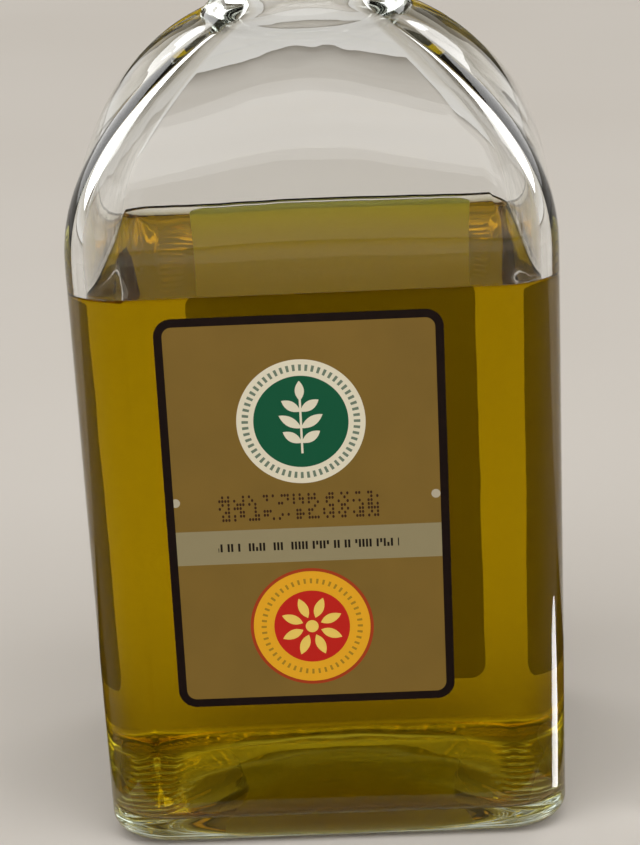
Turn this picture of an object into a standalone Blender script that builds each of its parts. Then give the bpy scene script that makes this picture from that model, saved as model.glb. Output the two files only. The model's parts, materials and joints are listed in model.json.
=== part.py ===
"""A square glass bottle of olive oil, standing shut.

Metres, +Z up. The origin is the centre of the base, on the surface that the bottle stands on. The
small seal label is on the -Y face and the wide label on the +Y face. The pieces are the glass, the
oil inside it, the two labels and the screw cap.
"""

import math

import bmesh
import bpy

# Glass body: a square with round corners, a little narrower at its foot
BODY_WIDTH = 0.0760
FOOT_WIDTH = 0.0730
SHOULDER_Z = 0.0945
CORNER = 0.0090
HEEL = 0.0040
WALL = 0.0027

# Shoulder: a superellipse from the body in to the neck, with its own squareness each way
SHOULDER_RISE = 0.0350
SHOULDER_INNER_RISE = 0.0325
SHOULDER_FOOT_RADIUS = 0.0120
SHOULDER_SPREAD = 1.53
SHOULDER_LIFT = 2.11
SHOULDER_END = math.radians(72)
ROUNDING = 2.5

# Neck, collar and mouth
NECK_RADIUS = 0.0140
NECK_SWEEP = 0.0050
BORE_RADIUS = 0.0095
COLLAR_RADIUS = 0.0152
COLLAR_Z = 0.1385
COLLAR_HEIGHT = 0.0030
FINISH_RADIUS = 0.0134
MOUTH_Z = 0.1640
LIP = 0.0010

# Base: a flat bearing ring round a pushed-up punt, and a floor that follows it
BEARING_WIDTH = 0.0045
PUNT_RISE = 0.0050
FLOOR_Z = 0.0038
FLOOR_RISE = 0.0045
FLOOR_DOME = 0.0280
FLOOR_FILLET = 0.0028

# Oil: up to the level seen on the front face
OIL_LEVEL = 0.0887

# Labels: a small one low on the front, off the middle, and a wide one on the back
LABEL_THICKNESS = 0.0003
LABEL_CORNER = 0.0028
FRONT_LABEL = {"low": 0.0240, "high": 0.0872, "low_width": 0.0433, "high_width": 0.0443, "shift": -0.0023}
BACK_LABEL = {"low": 0.0095, "high": 0.0872, "low_width": 0.0476, "high_width": 0.0486, "shift": 0.0012}

# Screw cap: a drawn skirt with a groove that parts off the lower band
CAP_RADIUS = 0.01575
CAP_WALL = 0.0010
CAP_FOOT_Z = 0.1420
CAP_HEIGHT = 0.0240
CAP_TOP_EDGE = 0.0012
CAP_GROOVE_Z = 0.0070
CAP_GROOVE = 0.0005

# Touching pieces stay this far apart
GAP = 0.0003

# Facets
CORNER_POINTS = 7
SIDE_POINTS = 7
ARC_STEPS = 5
SHOULDER_STEPS = 12
PUNT_STEPS = 5
CAP_FACETS = 64


def clear_scene():
    for item in list(bpy.data.objects):
        bpy.data.objects.remove(item, do_unlink=True)


def material(name, color, roughness, metallic=0.0, transmission=0.0, ior=1.5):
    """A Principled material with the piece's own colour."""
    made = bpy.data.materials.new(name)
    made.use_nodes = True
    shader = made.node_tree.nodes["Principled BSDF"]
    shader.inputs["Base Color"].default_value = (*color, 1.0)
    shader.inputs["Roughness"].default_value = roughness
    shader.inputs["Metallic"].default_value = metallic
    shader.inputs["Transmission Weight"].default_value = transmission
    shader.inputs["IOR"].default_value = ior
    made.diffuse_color = (*color, 1.0)
    return made


def square_points(half, corner):
    """The points of a square with round corners, anticlockwise, the same number for every size."""
    points = []
    flat = half - corner
    for quarter in range(4):
        turn = quarter * math.pi / 2
        for step in range(CORNER_POINTS):
            angle = step / (CORNER_POINTS - 1) * math.pi / 2
            points.append((turn, flat + corner * math.cos(angle), flat + corner * math.sin(angle)))
        for step in range(1, SIDE_POINTS + 1):
            along = flat - 2 * flat * step / (SIDE_POINTS + 1)
            points.append((turn, along, half))
    return [
        (x * math.cos(turn) - y * math.sin(turn), x * math.sin(turn) + y * math.cos(turn))
        for turn, x, y in points
    ]


def section(half, z, roundness, corner):
    """One level of the bottle: a rounded square drawn towards a circle, still `half` to its flats."""
    unit = square_points(1.0, corner / half)
    mean = sum(math.hypot(x, y) for x, y in unit) / len(unit)
    flat_reach = (1 - roundness) + roundness * mean
    ring = []
    for x, y in unit:
        pull = ((1 - roundness) + roundness * mean / math.hypot(x, y)) * half / flat_reach
        ring.append((x * pull, y * pull, z))
    return ring


def circle(radius, z, count):
    return [
        (radius * math.cos(math.tau * i / count), radius * math.sin(math.tau * i / count), z)
        for i in range(count)
    ]


def body_half(z):
    """Half the width across the flats of the straight body at height z."""
    share = (z - HEEL) / (SHOULDER_Z - HEEL)
    return (FOOT_WIDTH + (BODY_WIDTH - FOOT_WIDTH) * share) / 2


def arc(centre_r, centre_z, radius, start, end, steps):
    """Points of a round stretch of a profile, with its angles in degrees."""
    points = []
    for step in range(steps + 1):
        angle = math.radians(start + (end - start) * step / steps)
        points.append((centre_r + radius * math.cos(angle), centre_z + radius * math.sin(angle)))
    return points


def shoulder(half, foot_radius, rise, neck_radius):
    """Profile from the top of the body up over the shoulder and into the neck.

    Each of its points is (half width, height, roundness).
    """

    def at(t):
        reach = foot_radius + (half - foot_radius) * math.cos(t) ** (2 / SHOULDER_SPREAD)
        return reach, SHOULDER_Z + rise * math.sin(t) ** (2 / SHOULDER_LIFT)

    points = []
    for step in range(SHOULDER_STEPS + 1):
        reach, z = at(SHOULDER_END * step / SHOULDER_STEPS)
        share = (z - SHOULDER_Z) / rise
        points.append((reach, z, share**ROUNDING))

    # A curve that leaves the shoulder along its slope and meets the neck upright
    before = at(SHOULDER_END - 0.01)
    start = at(SHOULDER_END)
    slope = (start[1] - before[1]) / (before[0] - start[0])
    bend = (neck_radius, start[1] + slope * (start[0] - neck_radius))
    end = (neck_radius, bend[1] + NECK_SWEEP)
    last_round = points[-1][2]
    for step in range(1, ARC_STEPS + 1):
        t = step / ARC_STEPS
        r = (1 - t) ** 2 * start[0] + 2 * t * (1 - t) * bend[0] + t**2 * end[0]
        z = (1 - t) ** 2 * start[1] + 2 * t * (1 - t) * bend[1] + t**2 * end[1]
        points.append((r, z, last_round + (1 - last_round) * t))
    return points


def outer_profile():
    """Outside of the glass, from the middle of the base to the mouth."""
    bearing_outer = FOOT_WIDTH / 2 - HEEL
    bearing_inner = bearing_outer - BEARING_WIDTH
    points = []
    for step in range(1, PUNT_STEPS + 1):
        share = step / PUNT_STEPS
        points.append((bearing_inner * share, PUNT_RISE * (1 - share**2), 1 - share**2))
    for r, z in arc(bearing_outer, HEEL, HEEL, -90, 0, ARC_STEPS):
        points.append((r, z, 0.0))
    points += shoulder(BODY_WIDTH / 2, SHOULDER_FOOT_RADIUS, SHOULDER_RISE, NECK_RADIUS)
    half_collar = COLLAR_HEIGHT / 2
    points.append((NECK_RADIUS, COLLAR_Z, 1.0))
    for r, z in arc(COLLAR_RADIUS - half_collar, COLLAR_Z + half_collar, half_collar, -60, 60, ARC_STEPS):
        points.append((r, z, 1.0))
    points.append((FINISH_RADIUS, COLLAR_Z + COLLAR_HEIGHT, 1.0))
    for r, z in arc(FINISH_RADIUS - LIP, MOUTH_Z - LIP, LIP, 0, 90, 3):
        points.append((r, z, 1.0))
    return points


def floor_profile():
    """Inside of the base, from the wall in to the middle of the floor."""
    half = body_half(FLOOR_Z + FLOOR_FILLET) - WALL
    points = []
    for r, z in arc(half - FLOOR_FILLET, FLOOR_Z + FLOOR_FILLET, FLOOR_FILLET, 0, -90, ARC_STEPS):
        points.append((r, z, 0.0))
    for step in range(PUNT_STEPS):
        share = 1 - step / PUNT_STEPS
        points.append((FLOOR_DOME * share, FLOOR_Z + FLOOR_RISE * (1 - share**2), 1 - share**2))
    return points


def inner_profile():
    """Inside of the glass, from the mouth down to the middle of the floor."""
    half = BODY_WIDTH / 2 - WALL
    points = [(r, z, 1.0) for r, z in arc(BORE_RADIUS + LIP, MOUTH_Z - LIP, LIP, 90, 180, 3)]
    points += reversed(shoulder(half, BORE_RADIUS, SHOULDER_INNER_RISE, BORE_RADIUS))
    return points + floor_profile()


def skin(bm, rings):
    """Closes a stack of rings into one body: a strip from each ring to the next and a face at each end."""
    rows = [[bm.verts.new(point) for point in ring] for ring in rings]
    for low, high in zip(rows, rows[1:]):
        for i in range(len(low)):
            bm.faces.new((low[i - 1], low[i], high[i], high[i - 1]))
    for end in (rows[0], rows[-1]):
        bm.faces.new(end)
    bmesh.ops.recalc_face_normals(bm, faces=bm.faces)


def add_piece(name, bm, finish, sharp_angle=35):
    """Makes the named object of a sub-part, smooth but for its hard edges."""
    mesh = bpy.data.meshes.new(name)
    bm.to_mesh(mesh)
    bm.free()
    mesh.materials.append(finish)
    mesh.shade_smooth()
    mesh.set_sharp_from_angle(angle=math.radians(sharp_angle))
    piece = bpy.data.objects.new(name, mesh)
    bpy.context.scene.collection.objects.link(piece)
    return piece


def glass_corner(half, inside):
    """Corner radius of the outer skin, or of the inner skin a wall's thickness inside it."""
    return min(CORNER - WALL if inside else CORNER, half)


def add_glass():
    bm = bmesh.new()
    rings = [section(r, z, roundness, glass_corner(r, False)) for r, z, roundness in outer_profile()]
    rings += [section(r, z, roundness, glass_corner(r, True)) for r, z, roundness in inner_profile()]
    skin(bm, rings)
    return add_piece("glass_bottle", bm, material("clear_glass", (0.80, 0.86, 0.82), 0.03, 0.0, 0.9, 1.52))


def add_oil():
    """The oil fills the inside up to its level, a gap clear of the glass all round."""
    bm = bmesh.new()
    rings = []
    for r, z, roundness in reversed(floor_profile()):
        rings.append(section(r - GAP, z + GAP, roundness, glass_corner(r - GAP, True)))
    half = body_half(OIL_LEVEL) - WALL - GAP
    rings.append(section(half, OIL_LEVEL, 0.0, glass_corner(half, True)))
    skin(bm, rings)
    return add_piece("olive_oil", bm, material("olive_oil", (0.40, 0.33, 0.02), 0.05, 0.0, 0.6, 1.47))


def add_label(name, sizes, side, finish):
    """A sheet with round corners, cut to the body's taper, that leans with the face it is stuck on.

    `side` is -1 on the -Y face and 1 on the +Y face.
    """
    bm = bmesh.new()
    lean = math.atan((BODY_WIDTH - FOOT_WIDTH) / 2 / (SHOULDER_Z - HEEL))
    middle = (sizes["low"] + sizes["high"]) / 2
    reach = (sizes["high"] - sizes["low"]) / 2 / math.cos(lean)
    low = sizes["low_width"] / 2
    high = sizes["high_width"] / 2
    outline = [(-low, -reach), (low, -reach), (high, reach), (-high, reach)]
    bm.faces.new([bm.verts.new((x, 0.0, z)) for x, z in outline])
    bmesh.ops.bevel(
        bm, geom=list(bm.verts), offset=LABEL_CORNER, segments=6, profile=0.5, affect="VERTICES"
    )
    grown = bmesh.ops.extrude_face_region(bm, geom=list(bm.faces))
    verts = [item for item in grown["geom"] if isinstance(item, bmesh.types.BMVert)]
    bmesh.ops.translate(bm, verts=verts, vec=(0.0, side * LABEL_THICKNESS, 0.0))
    bmesh.ops.recalc_face_normals(bm, faces=bm.faces)
    label = add_piece(name, bm, finish)
    label.location = (sizes["shift"], side * (body_half(middle) + GAP), middle)
    label.rotation_euler = (-side * lean, 0.0, 0.0)
    return label


def cap_profile():
    """Section of the cap as (radius, z), from the middle of its top down the outside and up the inside."""
    top = CAP_FOOT_Z + CAP_HEIGHT
    groove = CAP_FOOT_Z + CAP_GROOVE_Z
    edge = arc(CAP_RADIUS - CAP_TOP_EDGE, top - CAP_TOP_EDGE, CAP_TOP_EDGE, 90, 0, ARC_STEPS)
    outside = [
        (CAP_RADIUS, groove + CAP_GROOVE),
        (CAP_RADIUS - CAP_GROOVE, groove),
        (CAP_RADIUS, groove - CAP_GROOVE),
        (CAP_RADIUS, CAP_FOOT_Z),
    ]
    bore = CAP_RADIUS - CAP_WALL
    inside = [(bore, CAP_FOOT_Z), (bore, MOUTH_Z + 2 * GAP)]
    middle = CAP_RADIUS / 4
    return [(middle, top)] + edge + outside + inside + [(middle, MOUTH_Z + 2 * GAP)]


def add_cap():
    bm = bmesh.new()
    skin(bm, [circle(r, z, CAP_FACETS) for r, z in cap_profile()])
    return add_piece("screw_cap", bm, material("black_lacquer", (0.012, 0.012, 0.013), 0.35))


def build():
    clear_scene()
    paper = material("label_paper", (0.21, 0.13, 0.035), 0.5)
    add_glass()
    add_oil()
    add_label("seal_label", FRONT_LABEL, -1, paper)
    add_label("wide_label", BACK_LABEL, 1, paper)
    add_cap()


build()
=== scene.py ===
# %% [markdown]
# A square glass bottle of olive oil, shut with a screw cap. Light has to cross it as it crosses the
# real one: into the glass, on into the oil, past the dark back of the far label and out again. So
# each piece here is a closed body with a real thickness, and the colours come from what the light
# passes through. First the measured model of the bottle is loaded. It sets the sizes below.

# %% Load the measured bottle
import json
import math

import bmesh
import bpy
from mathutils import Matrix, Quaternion, Vector

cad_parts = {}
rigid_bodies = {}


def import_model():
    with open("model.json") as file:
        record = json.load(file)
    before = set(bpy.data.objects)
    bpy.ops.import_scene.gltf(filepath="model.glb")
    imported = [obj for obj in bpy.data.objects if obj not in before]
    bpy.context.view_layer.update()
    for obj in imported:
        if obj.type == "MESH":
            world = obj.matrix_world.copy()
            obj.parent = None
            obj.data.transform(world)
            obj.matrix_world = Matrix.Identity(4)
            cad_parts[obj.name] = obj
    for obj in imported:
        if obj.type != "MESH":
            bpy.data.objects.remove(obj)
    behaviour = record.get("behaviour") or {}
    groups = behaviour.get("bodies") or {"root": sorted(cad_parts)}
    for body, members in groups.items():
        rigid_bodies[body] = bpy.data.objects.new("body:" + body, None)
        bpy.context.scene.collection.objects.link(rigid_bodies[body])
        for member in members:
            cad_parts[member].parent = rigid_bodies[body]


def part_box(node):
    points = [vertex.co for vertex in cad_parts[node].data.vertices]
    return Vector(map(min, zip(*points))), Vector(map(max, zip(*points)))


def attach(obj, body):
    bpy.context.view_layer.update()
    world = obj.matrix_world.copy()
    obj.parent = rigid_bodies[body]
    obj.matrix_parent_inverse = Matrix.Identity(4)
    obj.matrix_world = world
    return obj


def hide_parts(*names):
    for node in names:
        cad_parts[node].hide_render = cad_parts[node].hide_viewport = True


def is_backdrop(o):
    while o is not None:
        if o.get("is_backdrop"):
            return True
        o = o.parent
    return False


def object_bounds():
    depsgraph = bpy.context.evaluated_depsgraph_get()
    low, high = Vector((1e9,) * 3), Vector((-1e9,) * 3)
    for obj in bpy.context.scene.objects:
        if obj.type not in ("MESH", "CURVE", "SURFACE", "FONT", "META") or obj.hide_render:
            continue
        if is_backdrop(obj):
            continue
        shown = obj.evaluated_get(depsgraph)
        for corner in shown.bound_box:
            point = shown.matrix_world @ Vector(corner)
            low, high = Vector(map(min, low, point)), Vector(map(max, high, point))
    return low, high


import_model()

measured_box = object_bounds()
spans = [round(side * 1000, 1) for side in measured_box[1] - measured_box[0]]
print("the measured bottle spans", spans, "mm")

# %% [markdown]
# The driving sizes. What the measured model can tell is read from its boxes: how wide the body is,
# how high the oil stands, where the labels and the cap sit. The rest are a bottle maker's own
# sizes, such as the radius of a corner or the thickness of the wall, written in millimetres.

# %% Driving sizes of the glass
MM = 0.001

glass_low, glass_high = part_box("glass_bottle")
oil_low, oil_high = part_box("olive_oil")

BODY_HALF = glass_high.x
FOOT_HALF = 36.5 * MM
SHOULDER_Z = 94.5 * MM
CORNER = 9.0 * MM
HEEL = 4.0 * MM
WALL = 2.7 * MM
MOUTH_Z = glass_high.z
OIL_LEVEL = oil_high.z


def body_half(z):
    """Half the width across the flats of the straight body, which widens a little upwards."""
    return FOOT_HALF + (BODY_HALF - FOOT_HALF) * (z - HEEL) / (SHOULDER_Z - HEEL)


print("the oil stands", round(OIL_LEVEL / MM, 1), "mm high")
print("the mouth is", round(MOUTH_Z / MM, 1), "mm high")

# %% [markdown]
# Every piece is shaped in edit mode, from a primitive. An operator works on whatever is selected. So
# one helper opens a new piece with nothing else selected, and another picks its points, edges or faces
# by their place, as a hand with a mouse would do in the viewport.

# %% Start a piece and pick its parts
def deselect_all():
    bpy.ops.object.select_all(action="DESELECT")


def start_piece(name):
    """Names the primitive that was just added, applies its place and opens it in edit mode."""
    piece = bpy.context.object
    piece.name = name
    piece.data.name = name
    bpy.ops.object.transform_apply(location=True, rotation=True, scale=True)
    bpy.ops.object.mode_set(mode="EDIT")
    bpy.ops.mesh.select_all(action="SELECT")
    return piece


def middle_of(part):
    """Where a vertex is, or the middle of an edge or a face."""
    if isinstance(part, bmesh.types.BMVert):
        return part.co
    return sum((vert.co for vert in part.verts), Vector()) / len(part.verts)


def pick(piece, kind, wanted):
    """Selects the parts of one kind, VERT, EDGE or FACE, whose middle `wanted` accepts."""
    bpy.ops.mesh.select_mode(type=kind)
    bpy.ops.mesh.select_all(action="DESELECT")
    mesh = bmesh.from_edit_mesh(piece.data)
    parts = {"VERT": mesh.verts, "EDGE": mesh.edges, "FACE": mesh.faces}[kind]
    picked = [part for part in parts if wanted(middle_of(part))]
    for part in picked:
        part.select_set(True)
    mesh.select_flush_mode()
    bmesh.update_edit_mesh(piece.data)
    return len(picked)


print("loading leaves", len(bpy.context.selected_objects), "pieces selected")

# %% [markdown]
# Where oil lies against glass there is no air, and almost nothing is mirrored there. The shaders need
# to know those places, so the points that the oil wets carry a mark, an attribute. When its shape is
# done, a piece is shaded smooth and rides on the bottle, which is all one body.

# %% Mark the wet points and end a piece
def paint_wet(piece, wanted):
    """Sets the attribute `wet` to 1 at the points that oil touches, and to 0 at the rest."""
    mesh = bmesh.from_edit_mesh(piece.data)
    layer = mesh.verts.layers.float.get("wet") or mesh.verts.layers.float.new("wet")
    for vert in mesh.verts:
        vert[layer] = float(wanted(vert))
    bmesh.update_edit_mesh(piece.data)
    return sum(vert[layer] for vert in mesh.verts)


def end_piece(piece, stands_for=None, sharp_degrees=None):
    """Closes edit mode, shades the piece smooth and has it ride on the bottle."""
    bpy.ops.mesh.select_all(action="SELECT")
    bpy.ops.mesh.normals_make_consistent(inside=False)
    bpy.ops.object.mode_set(mode="OBJECT")
    if sharp_degrees is None:
        bpy.ops.object.shade_smooth()
    else:
        bpy.ops.object.shade_smooth_by_angle(angle=math.radians(sharp_degrees))
    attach(piece, "root")
    if stands_for:
        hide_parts(stands_for)
    triangles = sum(len(face.vertices) - 2 for face in piece.data.polygons)
    print(piece.name, "is finished with", triangles, "triangles")
    return piece


print("meshes so far, all of the measured bottle:", len(bpy.data.meshes))

# %% [markdown]
# The glass. A moulded bottle like this is square below and round at the neck, and its skin turns
# from one into the other over the shoulder. It could be cut from a cube and smoothed, but then the
# flat sides and the 9 mm corners would drift. Instead one ring, a square with round corners, is
# extruded from level to level as on a jig. At each level it is drawn a little closer to a circle
# with To Sphere, brought to its width with Resize and lifted to its height.

# %% The ring and its levels
CORNER_CUTS = 24
SIDE_CUTS = 19


def add_ring(half, z):
    """Adds a square ring of four edges, `half` from the axis to its flats."""
    bpy.ops.mesh.primitive_circle_add(
        vertices=4, radius=half * math.sqrt(2), location=(0, 0, z), rotation=(0, 0, math.pi / 4)
    )


def round_ring(piece, half, z, corner):
    """Rounds the corners of the square ring at height z and divides its flat sides."""
    pick(piece, "VERT", lambda co: abs(co.z - z) < MM / 100)
    bpy.ops.mesh.bevel(offset=corner, offset_type="OFFSET", segments=CORNER_CUTS, affect="VERTICES")
    pick(piece, "EDGE", lambda co: abs(co.z - z) < MM / 100 and min(abs(co.x), abs(co.y)) < half / 100)
    bpy.ops.mesh.subdivide(number_cuts=SIDE_CUTS)
    pick(piece, "VERT", lambda co: abs(co.z - z) < MM / 100)


print("a ring has", 4 * (CORNER_CUTS + 1 + SIDE_CUTS), "points")

# %% [markdown]
# A ring grows into a wall by Extrude: each level is a copy of the ring, drawn out along with the
# faces that join it to the last. The rim that is still open is where the next one starts.

# %% From ring to wall
def pick_open_rims():
    """Picks the edges that have a face on one side only."""
    bpy.ops.mesh.select_all(action="DESELECT")
    others = ("use_wire", "use_multi_face", "use_non_contiguous", "use_verts")
    bpy.ops.mesh.select_non_manifold(use_boundary=True, **dict.fromkeys(others, False))


def picked_points(piece):
    """The points that are picked now."""
    return [vert.co.copy() for vert in bmesh.from_edit_mesh(piece.data).verts if vert.select]


def shape_ring(piece, half, z, rounder):
    """Draws the picked ring towards a circle by `rounder`, then gives it its half width and height."""
    if rounder > 0:
        bpy.ops.transform.tosphere(value=min(rounder, 1.0))
    points = picked_points(piece)
    growth = half / max(co.x for co in points)
    bpy.ops.transform.resize(value=(growth, growth, 1), center_override=(0, 0, 0))
    bpy.ops.transform.translate(value=(0, 0, z - points[0].z))


def extrude_levels(piece, levels):
    """Extrudes the picked ring through levels of (half width, height, roundness)."""
    roundness = 0.0
    for half, z, wanted in levels:
        bpy.ops.mesh.extrude_edges_move()
        rounder = 1 - (1 - wanted) / (1 - roundness) if wanted > roundness else 0
        roundness = max(wanted, roundness)
        shape_ring(piece, half, z, rounder)


print("a level is a half width, a height and a roundness, in metres and from 0 to 1")

# %% [markdown]
# The levels follow a bottle's profile. The shoulder is a superellipse, fuller than an ellipse where
# it leaves the body, and a short sweep runs it into the neck. The inside has its own, a little
# lower, so that the wall is thin on the body and heavy towards the neck as in a moulded bottle.

# %% Shoulder levels
SHOULDER_SPREAD = 1.53
SHOULDER_LIFT = 2.11
SHOULDER_END = math.radians(72)
SHOULDER_STEPS = 44
ROUNDING = 2.5
NECK_SWEEP = 5.0 * MM
SWEEP_STEPS = 10


def shoulder_levels(half, foot_radius, rise, neck_radius):
    """Levels from the top of the body over the shoulder and up to where the neck runs straight."""

    def at(t):
        reach = foot_radius + (half - foot_radius) * math.cos(t) ** (2 / SHOULDER_SPREAD)
        return reach, SHOULDER_Z + rise * math.sin(t) ** (2 / SHOULDER_LIFT)

    levels = []
    for step in range(SHOULDER_STEPS + 1):
        reach, z = at(SHOULDER_END * step / SHOULDER_STEPS)
        levels.append((reach, z, ((z - SHOULDER_Z) / rise) ** ROUNDING))
    before, start = at(SHOULDER_END - 0.01), at(SHOULDER_END)
    slope = (start[1] - before[1]) / (before[0] - start[0])
    bend_z = start[1] + slope * (start[0] - neck_radius)
    end_z = bend_z + NECK_SWEEP
    last = levels[-1][2]
    for step in range(1, SWEEP_STEPS + 1):
        t = step / SWEEP_STEPS
        reach = (1 - t) ** 2 * start[0] + (1 - (1 - t) ** 2) * neck_radius
        z = (1 - t) ** 2 * start[1] + 2 * t * (1 - t) * bend_z + t**2 * end_z
        levels.append((reach, z, last + (1 - last) * t))
    return levels


NECK_RADIUS = 14.0 * MM
outer_shoulder = shoulder_levels(BODY_HALF, 12.0 * MM, 35.0 * MM, NECK_RADIUS)
print("the neck runs straight from", round(outer_shoulder[-1][1] / MM, 1), "mm up")

# %% [markdown]
# Below, the bottle stands on a narrow bearing ring, and the middle of its base is pushed up into
# the punt, so that it can't rock. Above, the neck ends in a collar and in the finish that takes the
# cap. Both are arcs and short straights, so one helper gives the points of an arc.

# %% Punt, heel, collar and lip levels
BEARING_WIDTH = 4.5 * MM
PUNT_RISE = 5.0 * MM
DOME_STEPS = 14
ARC_STEPS = 10
COLLAR_RADIUS = 15.2 * MM
COLLAR_Z = MOUTH_Z - 25.5 * MM
COLLAR_HALF = 1.5 * MM
FINISH_RADIUS = 13.4 * MM
LIP = 1.0 * MM
BORE_RADIUS = 9.5 * MM

BEARING_OUTER = FOOT_HALF - HEEL
BEARING_INNER = BEARING_OUTER - BEARING_WIDTH


def arc_levels(centre_r, centre_z, radius, start, end, roundness, steps=ARC_STEPS):
    """Levels along an arc of the profile, with its angles in degrees."""
    angles = [math.radians(start + (end - start) * step / steps) for step in range(steps + 1)]
    directions = [(math.cos(angle), math.sin(angle)) for angle in angles]
    return [(centre_r + radius * out, centre_z + radius * up, roundness) for out, up in directions]


def dome_levels(half, rim_z, rise):
    """Levels from the rim of a square dome in to a last small ring near its middle."""
    shares = [1 - step / DOME_STEPS for step in range(1, DOME_STEPS)]
    return [(half * share, rim_z + rise * (1 - share**2), 1 - share**2) for share in shares]


heel = arc_levels(BEARING_OUTER, HEEL, HEEL, -90, 0, 0.0)[1:]
collar = arc_levels(COLLAR_RADIUS - COLLAR_HALF, COLLAR_Z + COLLAR_HALF, COLLAR_HALF, -60, 60, 1.0)
outer_lip = arc_levels(FINISH_RADIUS - LIP, MOUTH_Z - LIP, LIP, 0, 90, 1.0, 5)
print("the base stands on a ring", round(BEARING_WIDTH / MM, 1), "mm wide")

# %% [markdown]
# The outside is made in one go from the bearing ring: once inwards over the punt, closed by a small
# face, and once outwards over the heel, up the body and the shoulder to the lip.

# %% Outside of the glass
BODY_LEVELS = 10

straight = [HEEL + (SHOULDER_Z - HEEL) * step / BODY_LEVELS for step in range(1, BODY_LEVELS)]
outer_levels = heel + [(body_half(z), z, 0.0) for z in straight] + outer_shoulder
outer_levels += [(NECK_RADIUS, COLLAR_Z, 1.0)] + collar
outer_levels += [(FINISH_RADIUS, COLLAR_Z + 2 * COLLAR_HALF, 1.0)] + outer_lip

deselect_all()
add_ring(BEARING_OUTER, 0.0)
glass = start_piece("bottle_glass")
round_ring(glass, BEARING_OUTER, 0.0, CORNER * BEARING_OUTER / BODY_HALF)
extrude_levels(glass, [(BEARING_INNER, 0.0, 0.0)] + dome_levels(BEARING_INNER, 0.0, PUNT_RISE))
bpy.ops.mesh.edge_face_add()

pick_open_rims()
extrude_levels(glass, outer_levels)
points = len(picked_points(glass))
print("the outside has", len(outer_levels) + DOME_STEPS, "levels of", points, "points")

# %% [markdown]
# The inside is a second skin a wall's thickness within the first. It starts where the body's wall
# meets the rounded floor: down over the floor, which domes up over the punt, and up to the bore.
# Both skins then end in a ring at the lip, and Bridge joins the two into one closed body of glass.

# %% Inside of the glass
FLOOR_Z = 3.8 * MM
FLOOR_RISE = 4.5 * MM
FLOOR_DOME = 28.0 * MM
FLOOR_FILLET = 2.8 * MM

MENISCUS_RISE = 1.3 * MM
FLOOR_TOP = FLOOR_Z + FLOOR_FILLET
INNER_HALF = body_half(FLOOR_TOP) - WALL
INNER_CORNER = CORNER - WALL

inner_shoulder = shoulder_levels(BODY_HALF - WALL, BORE_RADIUS, 32.5 * MM, BORE_RADIUS)
inner_lip = arc_levels(BORE_RADIUS + LIP, MOUTH_Z - LIP, LIP, 180, 90, 1.0, 5)[:-2]
fillet = arc_levels(INNER_HALF - FLOOR_FILLET, FLOOR_TOP, FLOOR_FILLET, 0, -90, 0.0)[1:]
floor_levels = fillet + [(FLOOR_DOME, FLOOR_Z, 0.0)] + dome_levels(FLOOR_DOME, FLOOR_Z, FLOOR_RISE)
OIL_RIM = OIL_LEVEL + MENISCUS_RISE
wall_heights = [z for z in straight if z > FLOOR_TOP + MM]
wall_heights = sorted(wall_heights + [OIL_RIM - MM, OIL_RIM, OIL_RIM + MM / 4])
walls = [(body_half(z) - WALL, z, 0.0) for z in wall_heights]

add_ring(INNER_HALF, FLOOR_TOP)
round_ring(glass, INNER_HALF, FLOOR_TOP, INNER_CORNER)
extrude_levels(glass, floor_levels)
bpy.ops.mesh.edge_face_add()
pick(glass, "VERT", lambda co: abs(co.z - FLOOR_TOP) < MM / 100)
extrude_levels(glass, walls + inner_shoulder + inner_lip)

pick(glass, "VERT", lambda co: abs(co.z - FLOOR_TOP) < MM / 100)
bpy.ops.mesh.select_linked()
wetted = paint_wet(glass, lambda vert: vert.select and vert.co.z < OIL_RIM + MM / 100)
print("oil touches the glass at", int(wetted), "points")

pick_open_rims()
bpy.ops.mesh.bridge_edge_loops()

# %% [markdown]
# A bottle's bearing ring is knurled, so that the hot glass touches the conveyor only at points. On
# the real one it shows through the oil as a row of teeth low down. Every second face of the ring is
# inset a little and pushed up into the glass.

# %% Knurl of the bearing ring
KNURL_DEPTH = 0.12 * MM
KNURL_EDGE = 0.18 * MM


def every_second(piece):
    """Of the picked faces, keeps every second one, counted round the axis."""
    mesh = bmesh.from_edit_mesh(piece.data)
    chosen = [face for face in mesh.faces if face.select]
    chosen.sort(key=lambda face: math.atan2(middle_of(face).y, middle_of(face).x))
    for face in chosen[1::2]:
        face.select_set(False)
    mesh.select_flush_mode()
    bmesh.update_edit_mesh(piece.data)
    return len(chosen[::2])


pick(glass, "FACE", lambda co: co.z < MM / 100)
knurls = every_second(glass)
bpy.ops.mesh.select_all(action="SELECT")
bpy.ops.mesh.normals_make_consistent(inside=False)
pick(glass, "FACE", lambda co: co.z < MM / 100)
every_second(glass)
bpy.ops.mesh.inset(thickness=KNURL_EDGE, depth=-KNURL_DEPTH, use_individual=True)
end_piece(glass, "glass_bottle")
print("the bearing ring has", knurls, "hollows")

# %% [markdown]
# The oil fills the inside up to its level. It is a body of its own that reaches just into the wall,
# so that no thin gap of air shines between glass and oil. At its edge the oil wets the glass and
# climbs it a little: that rim, the meniscus, draws the thin bright line at the top of the oil.

# %% Oil
OIL_REACH = 0.12 * MM
MENISCUS_LENGTH = 1.5 * MM
MENISCUS_STEPS = [0.2, 0.45, 0.75, 1.1, 1.5, 2.0, 2.7, 3.6, 5.0, 7.0]

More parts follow.
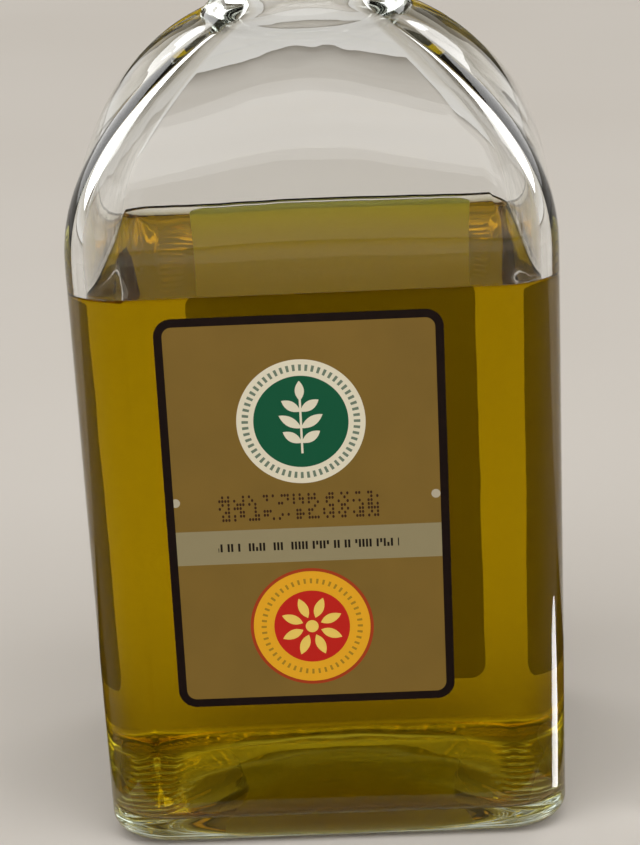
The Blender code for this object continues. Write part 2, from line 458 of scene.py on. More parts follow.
oil_floor = [(half, z - OIL_REACH, roundness) for half, z, roundness in floor_levels]
oil_floor = [(half + OIL_REACH * (half > FLOOR_DOME), z, roundness) for half, z, roundness in oil_floor]
oil_walls = [(half + OIL_REACH, z, 0.0) for half, z, _ in walls if z < OIL_RIM]
rim_half = body_half(OIL_RIM) - WALL
meniscus = [(rim_half + OIL_REACH, OIL_RIM, 0.0), (rim_half, OIL_RIM, 0.0)]
for depth in MENISCUS_STEPS:
    height = OIL_LEVEL + MENISCUS_RISE * math.exp(-depth * MM / MENISCUS_LENGTH)
    meniscus.append((rim_half - depth * MM, height, 0.0))
surface = [(meniscus[-1][0] * share, OIL_LEVEL, 0.0) for share in (0.8, 0.6, 0.4, 0.2, 0.05)]

deselect_all()
add_ring(INNER_HALF + OIL_REACH, FLOOR_TOP)
oil = start_piece("oil_fill")
round_ring(oil, INNER_HALF + OIL_REACH, FLOOR_TOP, INNER_CORNER)
extrude_levels(oil, oil_floor)
bpy.ops.mesh.edge_face_add()
pick(oil, "VERT", lambda co: abs(co.z - FLOOR_TOP) < MM / 100)
extrude_levels(oil, oil_walls + meniscus + surface)
bpy.ops.mesh.edge_face_add()
in_wall = lambda co: max(abs(co.x), abs(co.y)) > body_half(co.z) - WALL + OIL_REACH / 2
paint_wet(oil, lambda vert: vert.co.z < OIL_LEVEL - MM or in_wall(vert.co))
end_piece(oil, "olive_oil")

# %% [markdown]
# The two labels are die-cut sheets with round corners, stuck to the flat faces and leaning with
# them. Each starts as a plane, gets its taper and its round corners in edit mode, and a thin
# extrusion. An inset parts the dark border from the printed field, so that its edge stays crisp.
# The glued side reaches just into the glass: glue wets the glass, so no air shines there either.

# %% Labels
LABEL_CORNER = 2.8 * MM
LABEL_CORNER_CUTS = 10
LABEL_TAPER = 1.0 * MM
LABEL_BORDER = 1.3 * MM
LABEL_SINK = 0.06 * MM
LABEL_PROUD = 0.14 * MM
LEAN = math.atan((BODY_HALF - FOOT_HALF) / (SHOULDER_Z - HEEL))


def add_label(name, node, side):
    """A label over the measured sheet of that node, on the face at -Y (side -1) or +Y (side 1)."""
    low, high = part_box(node)
    middle = (low + high) / 2
    middle.y = side * (body_half(middle.z) - LABEL_SINK)
    deselect_all()
    upright = (-side * (math.pi / 2 + LEAN), 0, 0)
    bpy.ops.mesh.primitive_plane_add(size=1, location=middle, rotation=upright)
    bpy.context.object.scale = (high.x - low.x, (high.z - low.z) / math.cos(LEAN), 1)
    label = start_piece(name)
    pick(label, "VERT", lambda co: co.z < middle.z)
    narrower = 1 - LABEL_TAPER / (high.x - low.x)
    bpy.ops.transform.resize(value=(narrower, 1, 1), center_override=middle)
    bpy.ops.mesh.select_all(action="SELECT")
    bpy.ops.mesh.bevel(offset=LABEL_CORNER, segments=LABEL_CORNER_CUTS, affect="VERTICES")
    bpy.ops.mesh.select_mode(type="FACE")
    bpy.ops.mesh.select_all(action="SELECT")
    thickness = {"value": (0, side * (LABEL_SINK + LABEL_PROUD), 0)}
    bpy.ops.mesh.extrude_region_move(TRANSFORM_OT_translate=thickness)
    bpy.ops.mesh.inset(thickness=LABEL_BORDER)
    for face in bmesh.from_edit_mesh(label.data).faces:
        glued = side * face.normal.y < -0.5
        face.material_index = 2 if glued else int(face.select)
    return end_piece(label, node, sharp_degrees=30)


front_label = add_label("front_seal_label", "seal_label", -1)
back_label = add_label("back_wide_label", "wide_label", 1)

# %% [markdown]
# The cap is an aluminium roll-on closure. Its section is simple, so it grows from one small circle:
# out over the top, down the skirt, round the rolled foot and up inside. Then faces of its bands are
# picked by height and pushed in: every second one for the knurl, and all but a few for the slits
# that part off the lower band when the bottle is first opened. First come its sizes and its section.

# %% Section of the cap
CAP_POINTS = 192
CAP_WALL = 1.0 * MM
CAP_EDGE = 1.2 * MM
DISH = 0.25 * MM
BEAD = 0.45 * MM
KNURL_LOW = 15.6 * MM
KNURL_HIGH = 21.6 * MM
SLIT_Z = 6.9 * MM
SLIT_HALF = 0.22 * MM
RIB_DEPTH = 0.24 * MM
SLIT_DEPTH = 0.5 * MM
BRIDGES = 12

cap_low, cap_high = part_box("screw_cap")
CAP_RADIUS = cap_high.x


def skirt(*marks):
    """Levels on the outside of the skirt, from (height above its foot, depth below its skin)."""
    return [(CAP_RADIUS - depth, cap_low.z + height, 0.0) for height, depth in marks]


def bead(height):
    """Marks of a round groove rolled into the skirt at that height."""
    return [
        (height + BEAD * math.cos(math.radians(a)), BEAD * 0.6 * math.sin(math.radians(a)))
        for a in range(0, 181, 30)
    ]


inner_top = MOUTH_Z + 0.6 * MM
cap_top = [(CAP_RADIUS * 0.4, cap_high.z - DISH, 0.0), (CAP_RADIUS * 0.8, cap_high.z - DISH, 0.0)]
cap_top += arc_levels(CAP_RADIUS - CAP_EDGE, cap_high.z - CAP_EDGE, CAP_EDGE, 100, 0, 0.0)
cap_skirt = skirt((KNURL_HIGH + BEAD, 0), (KNURL_HIGH, BEAD / 4))
cap_skirt += skirt((KNURL_LOW, BEAD / 4), (KNURL_LOW - BEAD, 0))
cap_skirt += skirt(*bead(12.6 * MM), *bead(10.2 * MM), (SLIT_Z + SLIT_HALF, 0), (SLIT_Z - SLIT_HALF, 0))
cap_skirt += skirt(*bead(4.4 * MM), (0.9 * MM, 0), (0.3 * MM, 0.1 * MM))
cap_skirt += skirt((0, 0.45 * MM), (0.15 * MM, 0.9 * MM))
cap_inside = [(CAP_RADIUS - CAP_WALL, cap_low.z + MM, 0.0), (CAP_RADIUS - CAP_WALL, inner_top, 0.0)]
cap_inside += [(CAP_RADIUS * 0.1, inner_top, 0.0)]
print("the section of the cap has", len(cap_top + cap_skirt + cap_inside), "levels")

# %% [markdown]
# The section is drawn out into the body of the cap, with the same helper that made the glass. Then
# the ribs and the slits are inset, as a knurling wheel and a slitting knife would press them.

# %% Screw cap
deselect_all()
bpy.ops.mesh.primitive_circle_add(
    vertices=CAP_POINTS, radius=CAP_RADIUS * 0.1, fill_type="NGON", location=(0, 0, cap_high.z - DISH)
)
cap = start_piece("roll_on_cap")
extrude_levels(cap, cap_top + cap_skirt + cap_inside)
bpy.ops.mesh.edge_face_add()
bpy.ops.mesh.select_all(action="SELECT")
bpy.ops.mesh.normals_make_consistent(inside=False)


def pick_band(piece, low, high):
    """Picks the faces of the skirt's outside between two heights above its foot."""
    inner = CAP_RADIUS - CAP_WALL * 0.9
    return pick(
        piece, "FACE", lambda co: low < co.z - cap_low.z < high and math.hypot(co.x, co.y) > inner
    )


pick_band(cap, KNURL_LOW, KNURL_HIGH)
ribs = every_second(cap)
bpy.ops.mesh.inset(thickness=0.1 * MM, depth=-RIB_DEPTH, use_individual=True)

pick_band(cap, SLIT_Z - SLIT_HALF, SLIT_Z + SLIT_HALF)
between_bridges = lambda co: math.atan2(co.y, co.x) / math.tau * BRIDGES % 1 > 0.2
band = [face for face in bmesh.from_edit_mesh(cap.data).faces if face.select]
for face in band:
    face.select_set(between_bridges(middle_of(face)))
bmesh.update_edit_mesh(cap.data)
bpy.ops.mesh.inset(thickness=0.02 * MM, depth=-SLIT_DEPTH)
end_piece(cap, "screw_cap", sharp_degrees=40)
print("the cap has", ribs, "ribs")

# %% [markdown]
# Materials. Two helpers serve them all. One turns a colour as a designer writes it, an sRGB hex
# value, into the linear values that a shader works with. One adds a node with its settings and its
# links. Short ones build on it for what comes back most: arithmetic, two tones, clouds and bumps.

# %% Colours, nodes and patterns
def linear(hex_code):
    """An sRGB colour such as "7D6432" as the linear colour that a shader takes."""
    values = [int(hex_code[start : start + 2], 16) / 255 for start in (0, 2, 4)]
    return (*[v / 12.92 if v <= 0.04045 else ((v + 0.055) / 1.055) ** 2.4 for v in values], 1.0)


def add_node(material, kind, sockets=None, **settings):
    """Adds a node with its settings. Each socket gets a value, or a link from another node's output."""
    node = material.node_tree.nodes.new(kind)
    for name, value in settings.items():
        setattr(node, name, value)
    for name, value in (sockets or {}).items():
        if isinstance(value, bpy.types.NodeSocket):
            material.node_tree.links.new(value, node.inputs[name])
        else:
            node.inputs[name].default_value = value
    return node


def maths(material, operation, *values):
    """The result of one step of arithmetic."""
    return add_node(material, "ShaderNodeMath", dict(enumerate(values)), operation=operation).outputs[0]


def vector_maths(material, operation, *values):
    """The result of one step of arithmetic with places: a place, or a number for a length."""
    node = add_node(material, "ShaderNodeVectorMath", dict(enumerate(values)), operation=operation)
    return node.outputs["Value" if operation in ("DISTANCE", "LENGTH") else "Vector"]


def two_tones(material, share, first, second):
    """A colour that goes from one tone to another as a pattern goes from 0 to 1."""
    tones = {0: share, 6: linear(first), 7: linear(second)}
    return add_node(material, "ShaderNodeMix", tones, data_type="RGBA").outputs[2]


def noise(material, place, size, detail):
    """A cloudy pattern with patches of about that size in millimetres."""
    sockets = {"Vector": place, "Scale": 1 / size, "Detail": detail}
    return add_node(material, "ShaderNodeTexNoise", sockets).outputs[0]


def bump(material, height, strength, distance):
    """The lie of the surface, roughened by a pattern of that height in millimetres."""
    sockets = {"Height": height, "Strength": strength, "Distance": distance * MM}
    return add_node(material, "ShaderNodeBump", sockets).outputs[0]


print("the middle grey 808080 is", round(linear("808080")[0], 3), "in linear light")

# %% [markdown]
# Each material starts with one shader and its output. Patterns read Object coordinates, turned to
# millimetres, so that their scale is a real one. Glass and oil take their colour from inside, where
# a volume soaks up light, and lose their gloss where oil wets the glass.

# %% Start a material and set its shader
def new_material(name):
    """An empty material with its shader and its output, and the place of a point in millimetres."""
    material = bpy.data.materials.new(name)
    material.use_nodes = True
    material.node_tree.nodes.clear()
    shader = add_node(material, "ShaderNodeBsdfPrincipled")
    add_node(material, "ShaderNodeOutputMaterial", {"Surface": shader.outputs["BSDF"]})
    place = add_node(material, "ShaderNodeTexCoord").outputs["Object"]
    return material, shader, vector_maths(material, "MULTIPLY", place, (1000, 1000, 1000))


def set_shader(shader, sockets):
    """Gives sockets of the shader their values or links."""
    for name, value in sockets.items():
        if isinstance(value, bpy.types.NodeSocket):
            shader.id_data.links.new(value, shader.inputs[name])
        else:
            shader.inputs[name].default_value = value


def wetted_tint(material, dry):
    """A grey where the surface meets air, and black where it meets oil and mirrors nothing."""
    wet = add_node(material, "ShaderNodeAttribute", attribute_name="wet")
    return two_tones(material, wet.outputs["Fac"], dry, "000000")


def fill_volume(material, colour, density):
    """Lets the body of the material soak up light evenly, as tinted glass and oil do."""
    body = add_node(material, "ShaderNodeVolumeAbsorption", {"Color": colour, "Density": density})
    output = next(node for node in material.node_tree.nodes if node.type == "OUTPUT_MATERIAL")
    material.node_tree.links.new(body.outputs["Volume"], output.inputs["Volume"])


print("materials so far, all of the measured bottle:", len(bpy.data.materials))

# %% [markdown]
# Glass first. It is soda-lime flint glass, blown into an iron mould: its surface is fire-polished
# and mirror smooth, but it took the mould's slight waves, which make reflections swim a little. The
# thick corners and base show the faint green of the iron in the sand.

# %% Flint glass
def make_glass():
    """Clear glass, faintly green where it is thick."""
    material, shader, place = new_material("flint_glass_moulded")
    set_shader(
        shader,
        {
            "Base Color": linear("FFFFFF"),
            "Roughness": 0.0,
            "IOR": 1.52,
            "Transmission Weight": 1.0,
            "Specular Tint": wetted_tint(material, "CCCCCC"),
            "Normal": bump(material, noise(material, place, 14, 1.5), 0.25, 0.4),
        },
    )
    fill_volume(material, linear("C4E2CF"), 9.0)
    return material


glass.data.materials.append(make_glass())
print("glass:", glass.data.materials[0].name)

# %% [markdown]
# Olive oil is a clear liquid that soaks up blue almost at once, then red more slowly than green, so
# a thin layer looks pale yellow and a deep one olive to brown. All of its colour is in its volume.

# %% Olive oil
def make_oil():
    """Clear oil. The colour is the share of red, green and blue that the density lets by."""
    material, shader, place = new_material("olive_oil_pressed")
    set_shader(
        shader,
        {
            "Base Color": linear("FFFFFF"),
            "Roughness": 0.0,
            "IOR": 1.47,
            "Transmission Weight": 1.0,
            "Specular Tint": wetted_tint(material, "484848"),
            "Normal": bump(material, noise(material, place, 30, 1.0), 0.08, 0.3),
        },
    )
    fill_volume(material, (0.894, 0.827, 0.05, 1.0), 98.0)
    return material


oil.data.materials.append(make_oil())
print("oil:", oil.data.materials[0].name)

# %% [markdown]
# The print of the labels is flat ink, so it is drawn in the material. A few helpers answer for each
# point of the sheet whether it lies in a simple shape: a disc, a bar, a leaf, a ring of ticks. The
# shapes are then painted over each other in order, as a printer lays one ink over the next.

# %% Discs, bars and leaves
def across_and_up(material, place):
    """How far a place lies across the label, and how far up it."""
    axes = add_node(material, "ShaderNodeSeparateXYZ", {0: place})
    return axes.outputs["X"], axes.outputs["Z"]


def measured_from(material, place, centre, units, degrees=0):
    """The place seen from a centre, in units of a width and a height, turned by an angle."""
    frame_of_shape = {
        "Vector": place,
        "Location": (centre[0], 0, centre[1]),
        "Rotation": (0, -math.radians(degrees), 0),
        "Scale": (units[0], 1, units[1]),
    }
    return add_node(material, "ShaderNodeMapping", frame_of_shape, vector_type="TEXTURE").outputs[0]


def disc(material, place, centre, radius):
    """1 within a disc, 0 outside it."""
    away = vector_maths(material, "DISTANCE", place, (centre[0], 0, centre[1]))
    return maths(material, "LESS_THAN", away, radius)


def bar(material, place, centre, width, height):
    """1 within an upright rectangle, 0 outside it."""
    local = measured_from(material, place, centre, (width / 2, height / 2))
    x, z = across_and_up(material, vector_maths(material, "ABSOLUTE", local))
    return maths(material, "LESS_THAN", maths(material, "MAXIMUM", x, z), 1.0)


def leaf(material, place, centre, degrees, length, width):
    """1 within a pointed leaf whose long axis is turned by an angle."""
    local = measured_from(material, place, centre, (length / 2, width / 2), degrees)
    x, z = across_and_up(material, local)
    edge = maths(material, "ADD", maths(material, "MULTIPLY", x, x), maths(material, "ABSOLUTE", z))
    return maths(material, "LESS_THAN", edge, 1.0)


print("a shape takes the ink where it is 1")

# %% [markdown]
# Rings, rosettes and rows repeat one shape. A ring counts its steps round a centre, and a row counts
# cells of a grid. Each cell has its own local place, so a shape that is drawn there once comes back
# in all of them, and a fixed scatter leaves some cells empty.

# %% Rings, rosettes and rows
def polar(material, place, centre, count):
    """The distance from a centre, and the turn round it counted in `count` equal steps."""
    local = vector_maths(material, "SUBTRACT", place, (centre[0], 0, centre[1]))
    x, z = across_and_up(material, local)
    steps = maths(material, "MULTIPLY", maths(material, "ARCTAN2", x, z), count / math.tau)
    return vector_maths(material, "LENGTH", local), steps


def ticks(material, place, centre, inner, outer, count, share):
    """1 on short radial strokes in a ring, each taking a share of its step."""
    away, steps = polar(material, place, centre, count)
    stroke = maths(material, "LESS_THAN", maths(material, "FRACT", steps), share)
    in_ring = maths(material, "COMPARE", away, (inner + outer) / 2, (outer - inner) / 2)
    return both_of(material, stroke, in_ring)


def petals(material, place, centre, inner, outer, count, width):
    """1 on a rosette of pointed petals between two radii."""
    away, steps = polar(material, place, centre, count)
    off = maths(material, "SUBTRACT", maths(material, "FRACT", steps), 0.5)
    across = maths(material, "MULTIPLY", maths(material, "ABSOLUTE", off), away)
    across = maths(material, "MULTIPLY", across, math.tau / count / (width / 2))
    along = maths(material, "SUBTRACT", away, (inner + outer) / 2)
    along = maths(material, "MULTIPLY", along, 2 / (outer - inner))
    edge = maths(material, "ADD", maths(material, "MULTIPLY", along, along), across)
    return maths(material, "LESS_THAN", edge, 1.0)


def both_of(material, first, second):
    """1 where both masks are 1."""
    return maths(material, "MULTIPLY", first, second)


def scattered(material, place, centre, cell, gaps_every, chance):
    """Local place in each cell of a grid, and 1 for the cells that a fixed scatter fills.

    Every so many columns stay empty, so that the row falls into groups.
    """
    local = measured_from(material, place, centre, cell)
    index = vector_maths(material, "FLOOR", local)
    value = add_node(material, "ShaderNodeTexWhiteNoise", {"Vector": index}, noise_dimensions="3D")
    filled = maths(material, "LESS_THAN", value.outputs["Value"], chance)
    column = across_and_up(material, index)[0]
    kept = maths(material, "GREATER_THAN", maths(material, "FLOORED_MODULO", column, gaps_every), 0.5)
    return vector_maths(material, "FRACTION", local), both_of(material, filled, kept)


def paint(material, under, mask, colour):
    """Lays one ink, given as a hex colour, over what is under it where the mask is 1."""
    inks = {0: mask, 6: under, 7: linear(colour)}
    return add_node(material, "ShaderNodeMix", inks, data_type="RGBA").outputs[2]


print("a ring of 56 ticks has one every", round(360 / 56, 1), "degrees")

# %% [markdown]
# The front label is satin paper printed in a metallic tan, with a dark border round it. On the tan
# lie a seal with a green disc in a cream ring, a row of dots as from an ink jet, a paler band with
# a line of fine strokes, and a second seal in yellow and red. All motifs are plain ornament.

# %% Inks and seals
TAN = "876A2B"
TAN_DEEP = "796027"
CREAM = "E4DDC6"
GREEN = "0B5A3C"
YELLOW = "EAAA1C"
STRAW = "F0CE62"
RED = "C41C10"
INK = "1C120A"
JET_INK = "3A1E10"
BAND = "958A68"


def green_seal(material, place, under, centre):
    """A cream ring round a green disc, with a sprig of three pairs of leaves on it."""
    x, z = centre
    colour = paint(material, under, disc(material, place, centre, 9.9), CREAM)
    colour = paint(material, colour, ticks(material, place, centre, 8.1, 9.1, 56, 0.45), "6F7F6C")
    colour = paint(material, colour, disc(material, place, centre, 7.3), GREEN)
    colour = paint(material, colour, bar(material, place, (x, z - 0.6), 0.34, 9.0), CREAM)
    for height, length in ((-3.4, 3.4), (-0.9, 4.0), (1.6, 3.4)):
        for side in (-1, 1):
            middle = (x + side * length * 0.42, z + height + 0.9)
            blade = leaf(material, place, middle, 90 - side * 58, length, 1.5)
            colour = paint(material, colour, blade, CREAM)
    return paint(material, colour, leaf(material, place, (x, z + 4.9), 90, 3.2, 1.4), CREAM)


def red_seal(material, place, under, centre):
    """A yellow ring with a thin red rim, round a red disc with a yellow rosette of eight petals."""
    colour = paint(material, under, disc(material, place, centre, 9.6), "A83A12")
    colour = paint(material, colour, disc(material, place, centre, 9.1), YELLOW)
    colour = paint(material, colour, ticks(material, place, centre, 7.1, 7.9, 48, 0.35), "A8801C")
    colour = paint(material, colour, disc(material, place, centre, 5.9), RED)
    colour = paint(material, colour, petals(material, place, centre, 1.5, 5.0, 8, 1.5), STRAW)
    return paint(material, colour, disc(material, place, centre, 1.0), STRAW)


print("the tan ink reflects", [round(value, 3) for value in linear(TAN)[:3]], "of red, green and blue")

# %% [markdown]
# Both labels share one sheet of paper: the tan ink, a little mottled as a metallic ink prints, a
# fine grain that breaks up the highlights, and the satin gloss of a sealed print. Only the design
# that lies over the tan differs. The measures of a design are millimetres across and up the bottle.

# %% Printed label
def make_print(name, design):
    """Satin printed paper: the inks of a design over the tan, a fine grain and a soft gloss."""
    material, shader, place = new_material(name)
    flat = vector_maths(material, "MULTIPLY", place, (1, 0, 1))
    tan = two_tones(material, noise(material, place, 9, 2.0), TAN, TAN_DEEP)
    set_shader(
        shader,
        {
            "Base Color": design(material, flat, tan),
            "Roughness": 0.42,
            "Specular IOR Level": 0.25,
            "Normal": bump(material, noise(material, place, 0.4, 3.0), 0.15, 0.05),
        },
    )
    return material


def front_design(material, place, under):
    """Inks of the small front label, from the bottom one up."""
    colour = paint(material, under, bar(material, place, (-2.3, 50.3), 50.0, 5.5), BAND)
    cell_place, strokes = scattered(material, place, (-2.4, 50.2), (0.55, 1.5), 6, 0.8)
    line = both_of(material, strokes, bar(material, cell_place, (0.45, 0.5), 0.6, 1.0))
    line = both_of(material, line, bar(material, place, (-2.4, 50.2), 28.0, 1.3))
    colour = paint(material, colour, line, INK)
    cell_place, dots = scattered(material, place, (-16.5, 54.4), (0.46, 0.62), 5, 0.5)
    row = both_of(material, dots, disc(material, cell_place, (0.5, 0.5), 0.4))
    row = both_of(material, row, bar(material, place, (-3.8, 56.6), 25.4, 4.3))
    colour = paint(material, colour, row, JET_INK)
    for side in (-1, 1):
        notch = disc(material, place, (-2.5 + side * 20.1, 57.8), 0.7)
        colour = paint(material, colour, notch, "B7AE98")
    colour = green_seal(material, place, colour, (-2.6, 70.2))
    return red_seal(material, place, colour, (-2.5, 36.8))


front_print = make_print("printed_tan_paper", front_design)

# %% [markdown]
# The border is the same sheet overprinted with black ink, a duller and deeper black than the glass
# round it. The glued side is bare paper. Light from behind the bottle soaks through it, and the oil
# in front turns it to a dark olive field, which is how the far label shows in a view from the front.

# %% Border ink and glued side
def make_border():
    """Black ink printed over the tan."""
    material, shader, place = new_material("black_overprint")
    ink = two_tones(material, noise(material, place, 1.25, 3.0), "120805", "22110A")
    set_shader(shader, {"Base Color": ink, "Roughness": 0.5, "Specular IOR Level": 0.2})
    return material


def make_glue_side():
    """The bare side of the paper, soaked through with glue, that shows through the oil."""
    material, shader, place = new_material("glued_paper_back")
    set_shader(
        shader,
        {
            "Base Color": two_tones(material, noise(material, place, 1.6, 4.0), "F0EEA4", "FAF8B4"),
            "Roughness": 0.8,
            "Subsurface Weight": 1.0,
            "Subsurface Scale": 0.0004,
            "Subsurface Radius": (1.0, 1.0, 1.0),
        },
    )
    return material


border = make_border()
glue_side = make_glue_side()
for finish in (border, front_print, glue_side):
    front_label.data.materials.append(finish)
print("front label:", [finish.name for finish in front_label.data.materials])

# %% [markdown]
# Nothing of the wide label's own print shows in a view from the front, where only its glued side
# is seen through the oil. So it carries the same plain style: the tan field, one large sprig over
# the paler band, and rows of fine strokes where such a label has its text.

# %% Back label
def back_design(material, place, under):
    """Inks of the wide back label."""
    colour = paint(material, under, bar(material, place, (0, 46.0), 60.0, 5.5), BAND)
    colour = paint(material, colour, bar(material, place, (0, 66.0), 0.5, 24.0), INK)
    for step in range(4):
        for side in (-1, 1):
            middle = (side * 3.6, 57.5 + 5.4 * step + side * 0.9)
            blade = leaf(material, place, middle, 90 - side * 58, 8.0, 2.6)
            colour = paint(material, colour, blade, INK)
    for line in range(4):
        height = 40.5 - 3.1 * line
        cell_place, filled = scattered(material, place, (0, height), (0.6, 1.5), 7, 0.8)
        stroke = both_of(material, filled, bar(material, cell_place, (0.45, 0.5), 0.6, 1.0))
        stroke = both_of(material, stroke, bar(material, place, (0, height + 0.7), 38.0, 1.1))
        colour = paint(material, colour, stroke, INK)
    return colour


for finish in (border, make_print("printed_wide_paper", back_design), glue_side):
    back_label.data.materials.append(finish)
print("back label:", [finish.name for finish in back_label.data.materials])

# %% [markdown]
# The cap is aluminium, coated with black lacquer before it is drawn. The lacquer is satin, with the
# fine run of the coating roller.

# %% Cap lacquer
def make_lacquer():
    """Satin black lacquer under a thin clear coat."""
    material, shader, place = new_material("black_lacquered_aluminium")
    speckle = noise(material, place, 1 / 3, 2.0)
    rough = add_node(material, "ShaderNodeMapRange", {"Value": speckle, "To Min": 0.24, "To Max": 0.36})
    set_shader(
        shader,
        {
            "Base Color": linear("17171A"),
            "Roughness": rough.outputs[0],
            "Coat Weight": 0.3,
            "Coat Roughness": 0.15,
            "Normal": bump(material, speckle, 0.1, 0.04),
        },
    )
    return material


cap.data.materials.append(make_lacquer())
print("cap:", cap.data.materials[0].name)

# %% [markdown]
# The set: a plain pale table top and soft lamps, one pair far behind, one pair in front and one
# above. No lamp stands straight behind, because its image would shine through the thick base. The
# table lies a hair below the bearing ring, so that glass and table never share a face. A slim lamp
# beside the glass draws the white streak down its right corner, and only mirrored rays meet it, so
# that it never shows through the oil. It is an ellipse half hidden by the table, so the streak is
# broad below and runs out to a point above.

# %% Table and lamps
TABLE_DROP = 0.03 * MM


def make_table():
    """Matt painted board, slightly cloudy."""
    material, shader, place = new_material("matt_white_board")
    tone = two_tones(material, noise(material, place, 200, 2.0), "E4DFD9", "DAD4CC")
    set_shader(shader, {"Base Color": tone, "Roughness": 0.9, "Specular IOR Level": 0.15})
    return material


deselect_all()
bpy.ops.mesh.primitive_plane_add(size=6, location=(0, 0, -TABLE_DROP))
table = bpy.context.object
table.name = "table_top"
table.data.materials.append(make_table())
table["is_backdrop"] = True


def add_lamp(name, place, target, size, power):
    """A rectangular soft lamp that looks at a target and lights the set from out of sight."""
    turn = (Vector(target) - Vector(place)).to_track_quat("-Z", "Y")
    bpy.ops.object.light_add(type="AREA", location=place, rotation=turn.to_euler())
    lamp = bpy.context.object
    lamp.name = name
    lamp.data.shape = "RECTANGLE"
    lamp.data.size, lamp.data.size_y = size
    lamp.data.energy = power
    lamp.visible_camera = False
    return lamp


for side in (-1, 1):
    add_lamp("lamp_back", (side * 1.2, 1.6, 0.9), (0, 0.9, 0), (1.4, 1.0), 9.5)
    add_lamp("lamp_front", (side * 1.3, -0.9, 0.9), (0, 0, 0.06), (1.4, 1.2), 6.6)
add_lamp("lamp_above", (0, -0.7, 1.4), (0, 0, 0), (1.6, 1.0), 12.0)
streak = add_lamp("lamp_right", (0.048, -0.029, 0.006), (0, -0.037, 0.006), (0.006, 0.056), 0.009)
streak.data.shape = "ELLIPSE"
streak.visible_diffuse = False
streak.visible_transmission = False
print("table top", TABLE_DROP / MM, "mm below the bearing ring, and six lamps round it")

# %% [markdown]
# Polished glass mirrors all that lies round it, and on a wide white table that lays a pale veil over
# the oil. Photographers stand cards just outside the picture to quench it, and so are these. Black
# cards lie in front and beside, and only mirrored rays meet them. Two more stand behind, where the
# level of the oil mirrors them to the camera: a golden one, whose colour paints a warm olive reflection
# onto the oil's surface, before a grey one. Both are seen only in mirrored rays. Rays that come
# straight through the glass pass them all.

# %% Cards for the reflections
def make_card(name, dark, pale):
    """Matt card with a little fibre in its tone."""
    material, shader, place = new_material(name)
    tone = two_tones(material, noise(material, place, 2, 2.0), dark, pale)
    set_shader(shader, {"Base Color": tone, "Roughness": 0.9, "Specular IOR Level": 0.1})
    return material


def show_in_mirrors(material):
    """Lets every ray through that has not been mirrored on its way."""
    rays = add_node(material, "ShaderNodeLightPath")
    mirrored = maths(material, "GREATER_THAN", rays.outputs["Glossy Depth"], 0.5)
    clear = add_node(material, "ShaderNodeBsdfTransparent")
    nodes = material.node_tree.nodes
    kinds = {0: mirrored, 1: clear.outputs[0], 2: nodes["Principled BSDF"].outputs[0]}
    choice = add_node(material, "ShaderNodeMixShader", kinds)
    material.node_tree.links.new(choice.outputs[0], nodes["Material Output"].inputs["Surface"])


def add_card(name, material, place, size, lean, unseen_by):
    """A flat card, and the kinds of ray that don't see it."""
    bpy.ops.mesh.primitive_plane_add(size=1, location=place, rotation=(lean, 0, 0))
    card = bpy.context.object
    card.name = name
    card.scale = (*size, 1)
    card.data.materials.append(material)
    for rays in unseen_by:
        setattr(card, "visible_" + rays, False)
    card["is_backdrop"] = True
    print(name, "is", round(size[0] * 1000), "by", round(size[1] * 1000), "mm")


black_card = make_card("black_card", "16120E", "1E1914")
ALL_BUT_MIRRORED = ("camera", "diffuse", "transmission", "shadow")
add_card("card_in_front", black_card, (0, -0.315, 0.001), (1.2, 0.53), 0, ALL_BUT_MIRRORED)
for side in (-1, 1):
    add_card("card_beside", black_card, (side * 0.325, 0, 0.001), (0.55, 0.1), 0, ALL_BUT_MIRRORED)

grey_card = make_card("grey_card", "3C382E", "464236")
# The golden card paints a warm olive reflection on the level of the oil; only mirrored rays see it.
golden_reflection_card = make_card("golden_reflection_card", "BC9C10", "C8A81C")
show_in_mirrors(grey_card)
show_in_mirrors(golden_reflection_card)
OUTSIDE_GLASS = ("camera", "diffuse", "shadow")
UPRIGHT = math.pi / 2
add_card("card_behind", grey_card, (0, 0.2, 0.139), (0.16, 0.066), UPRIGHT, OUTSIDE_GLASS)
golden_reflection_place = (-0.0075, 0.198, 0.1355)
add_card("card_golden_reflection", golden_reflection_card, golden_reflection_place, (0.105, 0.030), UPRIGHT, OUTSIDE_GLASS)

# %% [markdown]
# The room is a ramp of pale light from the horizon up: bright walls low down, a dimmer band above
# them and a paler ceiling. The dim band is what the base of the bottle sees from below, so the oil
# there stays a calm olive instead of breaking up into bright flecks.

# %% Room
# Each stop: the sine of the angle above the horizon, the colour of the light, and its strength
ROOM = (
    (0.0, "F4F0EA", 0.80),
    (0.12, "EDE6DA", 0.74),
    (0.24, "E4DCCC", 0.50),
    (0.36, "D0C2A6", 0.27),
    (0.7, "C4B8A0", 0.19),
    (1.0, "F0EAE0", 0.36),
)

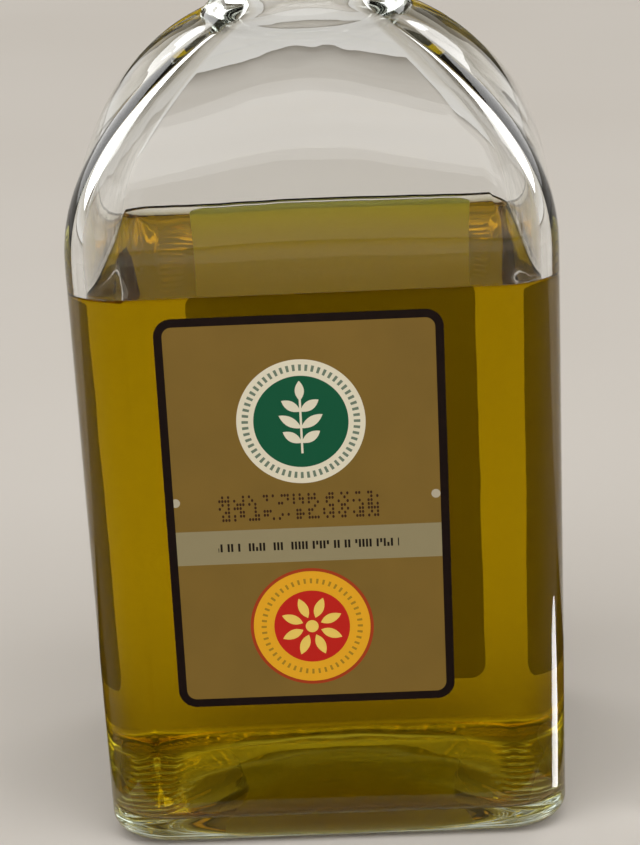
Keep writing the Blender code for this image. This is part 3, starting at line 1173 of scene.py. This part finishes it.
world = bpy.data.worlds.new("pale_room")
world.use_nodes = True
sky = world.node_tree
height = sky.nodes.new("ShaderNodeSeparateXYZ")
sky.links.new(sky.nodes.new("ShaderNodeTexCoord").outputs["Generated"], height.inputs[0])
ramp = sky.nodes.new("ShaderNodeValToRGB")
ramp.color_ramp.interpolation = "EASE"
while len(ramp.color_ramp.elements) < len(ROOM):
    ramp.color_ramp.elements.new(0.5)
for stop, (place, hue, strength) in zip(ramp.color_ramp.elements, ROOM):
    stop.position = place
    stop.color = [value * strength for value in linear(hue)]
sky.links.new(height.outputs["Z"], ramp.inputs[0])
sky.links.new(ramp.outputs[0], sky.nodes["Background"].inputs["Color"])
bpy.context.scene.world = world
print("the room's light has", len(ramp.color_ramp.elements), "stops")

# %% [markdown]
# The camera stands a little above the bottle and looks down at it through a long lens, close enough
# to cut it off above the shoulders. It is held slightly turned, so the bottle's top leans left.

# %% Camera
AIM = Vector((-1.0 * MM, 0, 59.1 * MM))
AZIMUTH = math.radians(2)
ELEVATION = math.radians(16)
TURN = math.radians(-2.86)
DISTANCE = 0.542

outwards = Vector(
    (
        math.sin(AZIMUTH) * math.cos(ELEVATION),
        -math.cos(AZIMUTH) * math.cos(ELEVATION),
        math.sin(ELEVATION),
    )
)
look = (-outwards).to_track_quat("-Z", "Y") @ Quaternion((0, 0, 1), TURN)
bpy.ops.object.camera_add(location=AIM + DISTANCE * outwards, rotation=look.to_euler())
camera = bpy.context.object
camera.data.lens = 140
camera.data.sensor_width = 36
camera.data.clip_start = 0.01
bpy.context.scene.camera = camera
print("the camera stands at", [round(place / MM) for place in camera.location], "mm")

# %% [markdown]
# Light crosses many surfaces on its way through a full bottle, so its paths are let run long.

# %% Light paths
cycles = bpy.context.scene.cycles
cycles.max_bounces = 32
cycles.transmission_bounces = 28
cycles.glossy_bounces = 12
bpy.context.scene.view_settings.view_transform = "Standard"
print("a ray may turn", cycles.max_bounces, "times")

# %% [markdown]
# Last, the finished bottle is measured again and its spans are printed, beside those of the measured
# model printed at the start.

# %% Sizes and finish
visual_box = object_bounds()
spans = [round(side / MM, 1) for side in visual_box[1] - visual_box[0]]
print("the finished bottle spans", spans, "mm")
